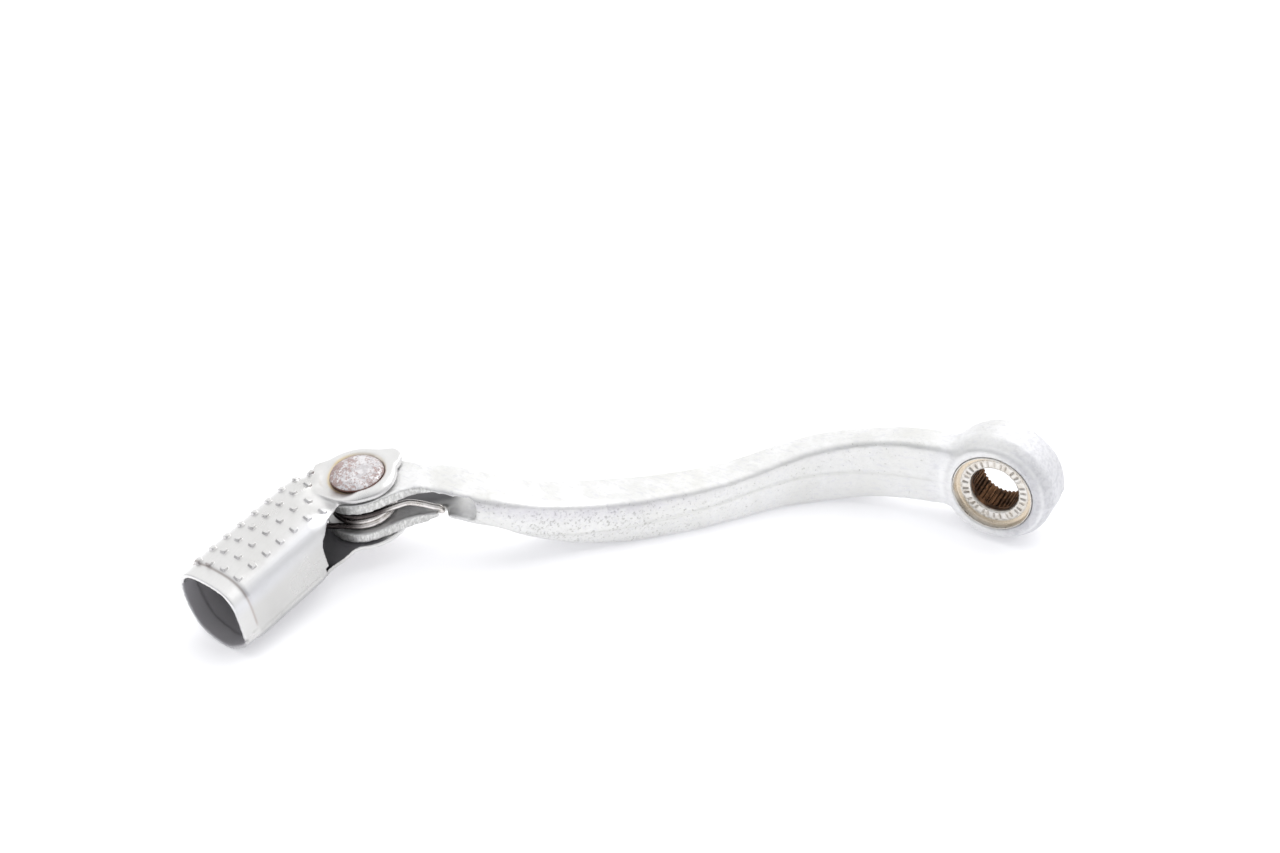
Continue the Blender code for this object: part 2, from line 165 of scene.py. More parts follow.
# The tube opens to its full section over a length from here, its far top edge earlier.
OPENING_FROM = 8.0
OPENING_LENGTH = 9.0
OPENING_EARLY = 6.0
# Share of its full width that the tube has at the ears.
TUBE_NARROW = 0.86
# Places in TUBE of its highest and lowest point.
TUBE_HIGHEST = 7
TUBE_LOWEST = 16
EAR_HOLE_R = 3.1
EAR_R = 8.15
EAR_TOP = 0.6
EAR_UNDER = -1.3
# Rows of the upper ear's profile that shape its ring, and the ring's width.
EAR_RING_ROWS = range(1, 10)
EAR_RING_WIDTH = 2.7
# Way from the pin in which the ear's ring opens into a dish, in the pin's frame.
DISH_WAY = math.radians(-115.0)

# The camera, by its turn and pitch, and its place from the foot of the shift shaft.
CAMERA_TURN = 27.6
CAMERA_PITCH = 36.1
CAMERA_LENS = 70.31
CAMERA_FROM_HUB = (121.4, -385.6, 318.1)
# The floor's half width is in metres; it lies a hair under the lever, in millimetres.
FLOOR_HALF = 3.0
FLOOR_GAP = 0.02
# Soft boxes: name, place and size in metres, power in watts, and whether metal mirrors it.
LAMPS = (("over", (-0.1, 0.1, 0.8), (1.2, 0.9), 5.2, False),
         ("front", (0.1, -0.8, 0.6), (0.9, 0.6), 1.6, False),
         ("shoulder", (0.36, 0.56, 0.49), (0.65, 0.45), 1.7, True))


def pin_frame():
    """Frame of the toe's pin, from the joint."""
    up = Vector(FOLD["axis"]).normalized()
    yaw = math.radians(TOE_YAW)
    out = Vector((-math.sin(yaw), -math.cos(yaw), 0.0))
    out = (out - up * out.dot(up)).normalized()
    turn = Matrix((up.cross(out), -out, up)).transposed().to_4x4()
    return Matrix.Translation(Vector(FOLD["pos_m"])) @ turn


def shaft_frame():
    """Frame of the shift shaft, from the bush: z runs outboard."""
    low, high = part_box("spline_bush")
    turn = Matrix(((1, 0, 0), (0, 0, -1), (0, 1, 0))).to_4x4()
    middle = (low + high) / 2.0
    middle.y = low.y + BUSH_RIM * MM
    return Matrix.Translation(middle) @ turn


PIN = pin_frame()
FORK = PIN @ Matrix.Rotation(math.radians(ARM_ANGLE), 4, "Z")
# The pin's frame turned so that z runs across the toe.
ACROSS = PIN @ Matrix(((0, 0, 1), (1, 0, 0), (0, 1, 0))).to_4x4()
SHAFT = shaft_frame()


# ---------------------------------------------------------------- mesh helpers

def add_object(name, mesh, place=None):
    """Link a mesh as an object, its place baked into its points."""
    if place is not None:
        mesh.transform(place)
    made = bpy.data.objects.new(name, mesh)
    bpy.context.scene.collection.objects.link(made)
    return made


def closed_mesh(name, bm):
    """Turn a bmesh into a mesh with its faces pointing out."""
    bmesh.ops.recalc_face_normals(bm, faces=bm.faces)
    mesh = bpy.data.meshes.new(name)
    bm.to_mesh(mesh)
    bm.free()
    return mesh


def skin(name, rings, caps=True, around=True):
    """Loft through rings of points in millimetres."""
    bm = bmesh.new()
    rows = [[bm.verts.new(Vector(p) * MM) for p in ring] for ring in rings]
    count = len(rows[0])
    for low, high in zip(rows, rows[1:]):
        for i in range(count):
            j = (i + 1) % count
            bm.faces.new((low[i], low[j], high[j], high[i]))
    if around:
        for i in range(count):
            j = (i + 1) % count
            bm.faces.new((rows[-1][i], rows[-1][j], rows[0][j], rows[0][i]))
    elif caps:
        bm.faces.new(rows[0][::-1])
        bm.faces.new(rows[-1])
    return closed_mesh(name, bm)


def turned(name, profile, steps, place, shape=None):
    """Revolve (radius, height) rows, open or closed, with an optional change by angle."""
    rings = []
    for row, (radius, height) in enumerate(profile):
        ring = []
        for i in range(steps):
            angle = 2.0 * math.pi * i / steps
            r, z = (radius, height) if shape is None else shape(row, radius, height, angle)
            ring.append((r * math.cos(angle), r * math.sin(angle), z))
        rings.append(ring)
    mesh = skin(name, rings, around=profile[0][0] > AXIS_R)
    return add_object(name, mesh, place)


def prism(name, outline, low, high, place):
    """Extrude an outline between two heights of a frame."""
    rings = [[(x, y, z) for x, y in outline] for z in (low, high)]
    return add_object(name, skin(name, rings, around=False), place)


def circle(radius, steps, centre=(0.0, 0.0)):
    """Points of a circle, starting half a step on."""
    turn = 2.0 * math.pi / steps
    return [(centre[0] + radius * math.cos((i + 0.5) * turn),
             centre[1] + radius * math.sin((i + 0.5) * turn)) for i in range(steps)]


def oblong(x0, x1, y0, y1):
    """Outline of a rectangle."""
    return [(x0, y0), (x0, y1), (x1, y1), (x1, y0)]


def baked(obj, name):
    """Apply an object's modifiers, returning its mesh and removing the object."""
    bpy.context.view_layer.update()
    graph = bpy.context.evaluated_depsgraph_get()
    mesh = bpy.data.meshes.new_from_object(obj.evaluated_get(graph))
    mesh.name = name
    mesh.transform(obj.matrix_world)
    bpy.data.objects.remove(obj, do_unlink=True)
    return mesh


def cut(target, tools, name):
    """Take tools away from an object, exactly, and remove them."""
    for tool in tools:
        mod = target.modifiers.new("cut", "BOOLEAN")
        mod.operation = "DIFFERENCE"
        mod.solver = "EXACT"
        mod.object = tool
    mesh = baked(target, name)
    for tool in tools:
        bpy.data.objects.remove(tool, do_unlink=True)
    return mesh


def merged(meshes, name, voxel):
    """Join closed meshes into one skin of small square faces."""
    bm = bmesh.new()
    for mesh in meshes:
        bm.from_mesh(mesh)
    joined = bpy.data.meshes.new(name)
    bm.to_mesh(joined)
    bm.free()
    obj = add_object(name, joined)
    mod = obj.modifiers.new("skin", "REMESH")
    mod.mode = "VOXEL"
    mod.voxel_size = voxel * MM
    return baked(obj, name)


def points_of(mesh):
    """A mesh's points in millimetres."""
    flat = np.empty(len(mesh.vertices) * 3)
    mesh.vertices.foreach_get("co", flat)
    return flat.reshape(-1, 3) / MM


def set_points(mesh, points):
    """Put a mesh's points back, given in millimetres."""
    mesh.vertices.foreach_set("co", (points * MM).ravel())
    mesh.update()


def normals_of(mesh):
    """A mesh's point normals."""
    flat = np.empty(len(mesh.vertices) * 3)
    mesh.vertex_normals.foreach_get("vector", flat)
    return flat.reshape(-1, 3)


def relax(mesh, weight, rounds, keep_volume=False):
    """Smooth a mesh's points by a weight each."""
    pairs = np.empty(len(mesh.edges) * 2, dtype=np.int64)
    mesh.edges.foreach_get("vertices", pairs)
    a, b = pairs.reshape(-1, 2).T
    points = points_of(mesh)
    count = len(points)
    degree = np.maximum(np.bincount(np.concatenate((a, b)), minlength=count), 1)
    weight = np.broadcast_to(weight, (count,))[:, None]
    for i in range(rounds):
        step = -0.52 if keep_volume and i % 2 else 0.5
        near = np.stack([np.bincount(a, points[b, k], count)
                         + np.bincount(b, points[a, k], count) for k in range(3)], axis=1)
        points += weight * step * (near / degree[:, None] - points)
    set_points(mesh, points)


def local(points, place):
    """Points given in the row frame, read in another frame, in millimetres."""
    inverse = np.array(place.inverted())
    return points @ inverse[:3, :3].T + inverse[:3, 3] / MM


def ramp(x, low, high):
    """Smooth step from low to high."""
    t = np.clip((x - low) / (high - low), 0.0, 1.0)
    return t * t * (3.0 - 2.0 * t)


def bell(x, width):
    """Bell curve."""
    return np.exp(-(x / width) ** 2)


def waves(points, size, seed, detail=2):
    """Smooth noise at each point, of a given size in millimetres."""
    shift = Vector((seed * 17.3, seed * 5.1, seed * 9.7))
    return np.array([noise.fractal(Vector(p) / size + shift, 1.0, 2.0, detail)
                     for p in points])


def paint(mesh, name, values):
    """Store a number for each point, for the material to read."""
    layer = mesh.attributes.new(name, "FLOAT", "POINT")
    layer.data.foreach_set("value", np.asarray(values, dtype=np.float32))


def shade(mesh, angle=None):
    """Smooth shading, with edges sharper than an angle kept crisp."""
    mesh.polygons.foreach_set("use_smooth", [True] * len(mesh.polygons))
    if angle is not None:
        mesh.set_sharp_from_angle(angle=math.radians(angle))
    mesh.update()


# ---------------------------------------------------------------- materials

def feed(tree, socket, value):
    """Link a socket to another node's output, or set its value."""
    if isinstance(value, bpy.types.NodeSocket):
        tree.links.new(value, socket)
    else:
        socket.default_value = value


class Nodes:
    """A node tree whose nodes are added one call at a time."""

    def __init__(self, tree):
        self.tree = tree

    def add(self, kind, inputs=None, **settings):
        """Add a node, setting its inputs from values or other nodes' outputs."""
        node = self.tree.nodes.new(kind)
        for key, value in settings.items():
            setattr(node, key, value)
        for key, value in (inputs or {}).items():
            feed(self.tree, node.inputs[key], value)
        return node

    def math(self, operation, a, b):
        """Arithmetic on two numbers."""
        return self.add("ShaderNodeMath", {0: a, 1: b}, operation=operation).outputs[0]

    def times(self, a, b):
        """Product of two numbers."""
        return self.math("MULTIPLY", a, b)

    def plus(self, a, b):
        """Sum of two numbers."""
        return self.math("ADD", a, b)

    def step(self, value, low, high, out_low=0.0, out_high=1.0):
        """Smooth step of a number."""
        return self.add("ShaderNodeMapRange", {
            "Value": value, "From Min": low, "From Max": high,
            "To Min": out_low, "To Max": out_high},
            interpolation_type="SMOOTHSTEP").outputs[0]

    def mix(self, factor, a, b):
        """Mix two colours."""
        a, b = ((*c, 1.0) if isinstance(c, tuple) else c for c in (a, b))
        return self.add("ShaderNodeMix", {0: factor, 6: a, 7: b}, data_type="RGBA").outputs[2]


class Surface(Nodes):
    """A Principled material."""

    def __init__(self, name, metallic, roughness):
        self.material = bpy.data.materials.new(name)
        self.material.use_nodes = True
        super().__init__(self.material.node_tree)
        self.shader = self.tree.nodes["Principled BSDF"]
        self.shader.inputs["Metallic"].default_value = metallic
        self.shader.inputs["Roughness"].default_value = roughness
        self.place = self.add("ShaderNodeTexCoord").outputs["Object"]
        self.colour = None

    def noise(self, size, detail=3.0, rough=0.55, stretch=None, distort=0.0):
        """Noise of a given size in millimetres."""
        where = self.place
        if stretch is not None:
            where = self.add("ShaderNodeMapping", {"Vector": where, "Scale": stretch}).outputs[0]
        return self.add("ShaderNodeTexNoise", {
            "Vector": where, "Scale": 1000.0 / size, "Detail": detail,
            "Roughness": rough, "Distortion": distort}).outputs["Fac"]

    def number(self, name):
        """A number painted on the mesh."""
        return self.add("ShaderNodeAttribute", attribute_name=name).outputs["Fac"]

    def bump(self, height, depth, before=None):
        """Bump of a depth in millimetres, on top of an earlier one."""
        inputs = {"Height": height, "Strength": 1.0, "Distance": depth * MM}
        if before is not None:
            inputs["Normal"] = before
        return self.add("ShaderNodeBump", inputs).outputs[0]

    def tint(self, mask, amount, other):
        """Mix another colour in where a mask is set, up to an amount."""
        self.colour = self.mix(self.times(mask, amount), self.colour, other)

    def finished(self, **sockets):
        """Feed the shader the colour and its other inputs, named with _ for a space."""
        for key, value in {"Base_Color": self.colour, **sockets}.items():
            feed(self.tree, self.shader.inputs[key.replace("_", " ")], value)
        return self.material


def forged_aluminium():
    """Tumbled forged aluminium: mottled, dark pits, painted shade along the crease, on the front,
    on the boss and in the slot, and a painted highlight round the boss.
    """
    s = Surface("forged_aluminium", 0.85, 0.45)
    cloud = s.noise(7.0, 6.0, 0.62)
    fine = s.noise(0.9, 4.0, 0.6)
    stain = s.noise(16.0, 4.0, 0.6)
    s.colour = s.mix(s.step(cloud, 0.36, 0.66), (0.83, 0.83, 0.82), (0.93, 0.93, 0.935))
    s.tint(s.step(stain, 0.5, 0.72), 0.35, (0.76, 0.755, 0.70))
    # Painted shade: the outboard front face of the arm is darker.
    s.tint(s.number("front"), 0.5, (0.72, 0.72, 0.70))
    s.tint(s.step(fine, 0.45, 0.7), 0.25, (0.70, 0.70, 0.68))
    # Painted shade on the boss, mottled, strongest on its +x side.
    s.tint(s.number("boss"), 0.9,
           s.mix(s.step(fine, 0.4, 0.65), (0.69, 0.69, 0.71), (0.60, 0.60, 0.625)))
    bands = s.noise(0.42, 3.0, 0.7, stretch=(1.0, 1.0, 0.35))
    grit = s.noise(0.5, 4.0, 0.7)
    speckle = s.step(s.plus(s.times(bands, 0.6), s.times(grit, 0.4)), 0.42, 0.62)
    s.tint(s.number("cut_edge"), 0.75, s.mix(speckle, (0.40, 0.40, 0.38), (0.74, 0.74, 0.72)))
    # Painted highlight round the edge of the boss's front face.
    s.tint(s.number("edge"), 0.7, (0.93, 0.93, 0.93))
    speck = s.noise(0.55, 3.0, 0.7)
    level = s.plus(speck, s.times(s.number("pits"), 0.12))
    level = s.plus(level, s.times(s.step(cloud, 0.45, 0.65), 0.03))
    dark = s.step(level, 0.72, 0.80)
    s.tint(dark, 0.4, (0.42, 0.42, 0.38))
    streaks = s.step(s.noise(0.7, 4.0, 0.7, stretch=(0.3, 1.0, 1.0)), 0.52, 0.66)
    s.tint(streaks, 0.3, (0.66, 0.66, 0.72))
    # Painted shade, near black, inside the fork's slot.
    s.tint(s.number("deep"), 0.95, (0.07, 0.068, 0.075))
    # Painted shade along the crease under the arm's top edge, broken up by noise.
    crease_shade = s.times(s.number("crease"), s.step(s.noise(2.2, 3.0), 0.3, 0.6, 0.45, 1.0))
    s.tint(crease_shade, 0.45, (0.58, 0.56, 0.63))
    s.tint(s.number("line"), 0.4, (0.60, 0.60, 0.57))
    dull = s.plus(s.times(dark, 0.5), s.times(s.number("boss"), 0.5))
    rough = s.step(s.plus(cloud, dull), 0.3, 1.0, 0.38, 0.66)
    grain = s.bump(s.noise(0.35, 3.0, 0.6), 0.03)
    grain = s.bump(fine, 0.05, grain)
    grain = s.bump(s.math("SUBTRACT", 1.0, dark), 0.05, grain)
    return s.finished(Roughness=rough, Normal=grain)


def bush_steel():
    """Turned steel with tan heat tint, and dark rust in the splines darkened to painted shade down
    the bore.
    """
    s = Surface("bush_steel", 1.0, 0.3)
    bore = s.number("bore")
    ring = s.number("ring")
    marks = s.number("marks")
    cloud = s.noise(1.6, 4.0, 0.65)
    fine = s.noise(0.4, 3.0, 0.7)
    s.colour = s.mix(s.step(cloud, 0.35, 0.65), (0.66, 0.62, 0.56), (0.82, 0.80, 0.77))
    s.tint(ring, 0.75, (0.72, 0.60, 0.44))
    # Dirt and painted shade in the serration notches.
    notch_dirt_and_shade = s.times(marks, s.step(fine, 0.3, 0.62, 0.5, 1.0))
    s.tint(notch_dirt_and_shade, 0.85, (0.20, 0.16, 0.12))
    spots = s.step(s.plus(fine, s.times(ring, 0.05)), 0.62, 0.7)
    s.tint(spots, 0.5, (0.38, 0.26, 0.16))
    # Rust in the bore, darkened to near black as painted shade down it.
    rust = s.mix(s.step(cloud, 0.35, 0.62), (0.045, 0.022, 0.012), (0.21, 0.11, 0.055))
    s.colour = s.mix(bore, s.colour, rust)
    rough = s.step(s.plus(cloud, s.times(bore, 0.6)), 0.3, 1.1, 0.24, 0.7)
    grain = s.bump(fine, 0.03)
    return s.finished(Roughness=rough, Normal=grain)


def satin_stainless():
    """Pressed stainless sheet: satin, faint drawn grain, light handling marks, with painted shade,
    highlights and reflections.
    """
    s = Surface("satin_stainless", 0.95, 0.3)
    drawn = s.add("ShaderNodeMapping", {
        "Vector": s.place, "Rotation": (0.0, 0.0, math.radians(-TOE_YAW)),
        "Scale": (1.0, 0.12, 1.0)}).outputs[0]
    lines = s.add("ShaderNodeTexNoise", {
        "Vector": drawn, "Scale": 2600.0, "Detail": 3.0, "Roughness": 0.6}).outputs["Fac"]
    cloud = s.noise(9.0, 4.0, 0.55)
    fine = s.noise(0.5, 3.0, 0.6)
    s.colour = s.mix(s.step(cloud, 0.35, 0.65), (0.73, 0.725, 0.715), (0.80, 0.795, 0.79))
    s.tint(s.step(lines, 0.45, 0.7), 0.14, (0.60, 0.59, 0.58))
    # Painted shade on the near wall of the tube.
    s.tint(s.number("wall"), 0.85, (0.55, 0.547, 0.535))
    # Painted shade on the tube's rolled lower edge and the ear ring's outer slope.
    s.tint(s.number("underside_shade"), 0.7, (0.44, 0.44, 0.45))
    # Painted reflection: a bluish band along the shoulder above the near wall.
    s.tint(s.number("shoulder"), 0.35, (0.74, 0.755, 0.83))
    # Painted highlight on the ear's ring, the beak, the collar and the tube's top.
    s.tint(s.number("highlight"), 0.35, (0.95, 0.95, 0.95))
    # Painted shadow along the step of the collar.
    s.tint(s.number("collar_step_shadow"), 0.75, (0.40, 0.35, 0.33))
    # Painted shade on the nubs' sides.
    s.tint(s.number("nub_shade"), 0.12, (0.46, 0.40, 0.47))
    # Painted shade inside the tube, near black deep in it.
    inside = s.number("inside")
    hollow_shade = s.mix(s.number("depth"), (0.54, 0.53, 0.55), (0.012, 0.014, 0.02))
    s.tint(inside, 0.97, hollow_shade)
    tide = s.times(s.number("stain"), s.step(s.noise(1.3, 3.0), 0.25, 0.6, 0.5, 1.0))
    s.tint(tide, 0.85, (0.82, 0.66, 0.38))
    s.tint(s.number("seam"), 0.8, (0.22, 0.13, 0.09))
    rough = s.step(s.plus(cloud, s.times(inside, 0.7)), 0.3, 1.0, 0.25, 0.85)
    grain = s.bump(lines, 0.012)
    grain = s.bump(fine, 0.012, grain)
    return s.finished(Roughness=rough, Normal=grain)


def rusty_rivet_steel():
    """Plated steel rivet with its plating gone in patches of red-brown rust."""
    s = Surface("rusty_rivet_steel", 0.75, 0.45)
    patch = s.noise(2.6, 5.0, 0.7, distort=0.4)
    speck = s.noise(0.55, 4.0, 0.75)
    edge = s.number("rim")
    plate = s.mix(s.step(s.noise(1.2, 3.0), 0.35, 0.65), (0.62, 0.60, 0.615), (0.86, 0.845, 0.86))
    level = s.plus(s.times(speck, 0.62), s.times(patch, 0.38))
    level = s.plus(level, s.times(s.number("worn"), 0.06))
    rust = s.step(level, 0.495, 0.575)
    brown = s.mix(s.step(speck, 0.4, 0.65), (0.16, 0.085, 0.075), (0.36, 0.24, 0.22))
    s.colour = s.mix(s.times(rust, 0.85), plate, brown)
    s.tint(s.step(edge, 0.55, 0.9), 0.9, (0.13, 0.045, 0.03))
    rough = s.step(rust, 0.0, 1.0, 0.32, 0.72)
    metal = s.step(rust, 0.0, 1.0, 0.85, 0.15)
    grain = s.bump(s.math("SUBTRACT", 1.0, rust), 0.05)
    grain = s.bump(speck, 0.04, grain)
    return s.finished(Roughness=rough, Metallic=metal, Normal=grain)


def spring_wire():
    """Drawn spring wire, grey-brown with fine lines along it."""
    s = Surface("spring_wire", 1.0, 0.3)
    cloud = s.noise(1.8, 4.0, 0.6)
    fine = s.noise(0.3, 3.0, 0.6)
    s.colour = s.mix(s.step(cloud, 0.35, 0.65), (0.66, 0.63, 0.60), (0.86, 0.83, 0.81))
    s.tint(s.step(fine, 0.55, 0.7), 0.35, (0.30, 0.24, 0.21))
    s.tint(s.number("shade"), 0.93, (0.06, 0.045, 0.045))
    rough = s.step(cloud, 0.3, 0.7, 0.22, 0.42)
    return s.finished(Roughness=rough, Normal=s.bump(fine, 0.015))


def sleeve_steel():
    """Turned steel sleeve under the spring."""
    s = Surface("sleeve_steel", 1.0, 0.35)
    cloud = s.noise(1.4, 4.0, 0.6)
    s.colour = s.mix(s.step(cloud, 0.35, 0.65), (0.33, 0.30, 0.28), (0.50, 0.47, 0.45))
    turned_lines = s.noise(0.25, 2.0, 0.5, stretch=(1.0, 1.0, 12.0))
    return s.finished(Roughness=s.step(cloud, 0.3, 0.7, 0.28, 0.5),
                      Normal=s.bump(turned_lines, 0.01))


# ---------------------------------------------------------------- the arm

class Places:
    """A mesh's points, read in the frames of the shaft, the pin and the fork."""

    def __init__(self, mesh):
        self.points = points_of(mesh)
        self.normals = normals_of(mesh)
        self.shaft = local(self.points, SHAFT)
        self.pin = local(self.points, PIN)
        self.fork = local(self.points, FORK)
        self.from_hub = np.hypot(self.shaft[:, 0], self.shaft[:, 1])
        self.from_pin = np.hypot(self.pin[:, 0], self.pin[:, 1])
        self.along = ramp(self.from_pin, FORK_END, BODY_START)
        self.up = self.normals @ np.array(PIN.to_3x3())[:, 2]
        self.facing = self.normals @ np.array(FORK.to_3x3())


def height_share(points):
    """Height of each point as a share of the arm's thickness there, and that thickness."""
    first = points[:, 0].min()
    bins = np.clip(((points[:, 0] - first) / BIN).astype(int), 0, BIN_COUNT - 1)
    high = np.full(BIN_COUNT, -1e9)
    low = np.full(BIN_COUNT, 1e9)
    np.maximum.at(high, bins, points[:, 2])
    np.minimum.at(low, bins, points[:, 2])
    centres = first + BIN * (np.arange(BIN_COUNT) + 0.5)
    used = high > low
    top = np.interp(points[:, 0], centres[used], high[used])
    bottom = np.interp(points[:, 0], centres[used], low[used])
    return (points[:, 2] - bottom) / (top - bottom), top - bottom


def smooth_arm(mesh):
    """Take the voxels out of the skin, and fillet the arm into its boss and its fork."""
    fine = ARM_TRIED / ARM_VOXEL
    at = Places(mesh)
    body = ramp(at.from_pin, 13.0, 18.0) * ramp(at.from_hub, 12.0, 15.0)
    relax(mesh, 1.0, max(2, int(4 * fine)))
    relax(mesh, body, int(14 * fine * fine))
    boss = bell(at.from_hub - BOSS_R, 1.7) * ramp(-at.shaft[:, 0], 3.0, 7.0)
    neck = bell(at.from_pin - FORK_END, 2.8) * ramp(at.pin[:, 2], -7.5, -4.5)
    for fillet in (boss, neck):
        relax(mesh, np.clip(fillet * 1.2, 0.0, 1.0), int(36 * fine * fine))


def weather_arm(mesh, at, parting, pad):
    """Move the skin: ripple, parting line, lumps at the fork, flash and the sunk pad."""
    rough = waves(at.points, 6.0, 1) * 0.10 + waves(at.points, 1.6, 2) * 0.035
    rough *= ramp(at.from_hub, 8.9, 10.0) * ramp(at.from_pin, 6.5, 9.0)
    lump = bell(np.linalg.norm(at.pin - np.array(LUMP), axis=1), 1.5)
    bumps = lump * (0.22 + 0.35 * np.abs(waves(at.points, 0.9, 3)))
    flash = bell(at.shaft[:, 1] + 0.6, 0.45) * ramp(at.shaft[:, 0], 9.5, 11.5)
    moved = rough + parting * RIDGE_RISE + bumps + flash * FLASH_RISE - pad * PAD_DEPTH
    at.points += at.normals * moved[:, None]
    at.points[:, 2] = np.maximum(at.points[:, 2], 0.0)
    set_points(mesh, at.points)


def slot_shade(at):
    """Painted shade on the floor, the ceiling and the back of the fork's slot."""
    x, y, z = at.fork.T
    floor = ramp(at.facing[:, 2], 0.4, 0.7) * bell(z - SLOT_BOTTOM, 0.4)
    floor *= 0.45 + 0.5 * ramp(y, -3.5, -0.5) * ramp(x, 3.0, 7.0)
    ceiling = ramp(-at.facing[:, 2], 0.4, 0.7) * bell(z - SLOT_TOP, 0.4)
    back = ramp(-at.facing[:, 0], 0.3, 0.6) * ramp(at.from_pin, 14.0, 16.0)
    back *= ramp(z, SLOT_BOTTOM - 0.2, SLOT_BOTTOM + 0.1)
    back *= ramp(-z, -SLOT_TOP - 0.2, -SLOT_TOP + 0.1)
    return np.maximum(np.maximum(floor, ceiling), back) * ramp(-at.from_pin, -20.5, -17.0)


def build_arm():
    """Forged arm: the frame's solid, re-skinned finely, filleted and weathered."""
    mesh = merged([frame["nodes"]["arm"].data], "arm_forging", ARM_VOXEL)
    smooth_arm(mesh)
    at = Places(mesh)
    share, thick = height_share(at.points)
    across = (share - 0.5 - 0.05 * np.sin(at.points[:, 0] / 9.0)) * thick
    upright = 1.0 - ramp(np.abs(at.normals[:, 2]), 0.45, 0.8)
    edge = upright * at.along * ramp(at.from_hub, 11.0, 13.5)
    fork_x, _, fork_z = at.fork.T
    island = np.hypot((fork_x - 18.0) / 3.4, (fork_z + 7.7) / 3.0)
    pad = ramp(fork_x, 14.6, 15.2) * ramp(-at.facing[:, 1], 0.4, 0.75)
    pad *= ramp(-at.from_pin, -26.0, -20.0) * (1.0 - ramp(island, 0.92, 1.04))
    weather_arm(mesh, at, bell(across, 0.38) * edge, pad)

    outboard = -at.normals[:, 1]
    # Painted shade on the outboard front face of the arm.
    front = ramp(outboard, 0.25, 0.75) * at.along * ramp(at.from_hub, 12.0, 16.0)
    patch = waves(at.points, 9.0, 5)
    pits = front * (0.35 + 0.9 * bell(at.points[:, 0] + 14.0, 26.0)) + 0.12 + 0.35 * patch
    pits += 0.5 * ramp(at.normals[:, 2], 0.5, 0.9) * ramp(patch, 0.15, 0.5)
    # Painted shade along the crease under the top edge of the front face.
    crease = bell(share - 0.86, 0.13) * ramp(outboard, 0.2, 0.6)
    crease *= at.along * bell(at.points[:, 0] + 16.0, 24.0)
    recess = ramp(np.abs(at.shaft[:, 2] - 1.0), 0.0, 0.8)
    plates = ramp(-at.from_pin, -16.5, -14.0) * (1.0 - ramp(np.abs(at.up), 0.35, 0.75))
    plates *= ramp(at.from_pin, 5.5, 6.5)
    # Painted shade on the boss, strongest on its +x side.
    boss = ramp(-at.from_hub, -15.5, -13.0) * (0.25 + 0.75 * ramp(at.shaft[:, 0], -2.0, 8.0))
    paint(mesh, "cut_edge", np.clip(plates + pad * 0.35, 0.0, 1.0))
    paint(mesh, "deep", slot_shade(at))
    paint(mesh, "boss", boss)
    paint(mesh, "front", front)
    paint(mesh, "pits", np.clip(pits, 0.0, 1.4))
    paint(mesh, "crease", np.clip(crease, 0.0, 1.0))
    paint(mesh, "line", bell(across, 0.22) * edge)
    # Painted highlight round the edge of the boss's front face.
    paint(mesh, "edge", (1.0 - recess) * bell(at.from_hub - 11.0, 0.8))
    shade(mesh)
    arm = add_object("arm_forging", mesh)
    arm.data.materials.clear()
    arm.data.materials.append(forged_aluminium())
    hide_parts("arm")
    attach(arm, "lever")


# ---------------------------------------------------------------- the bush

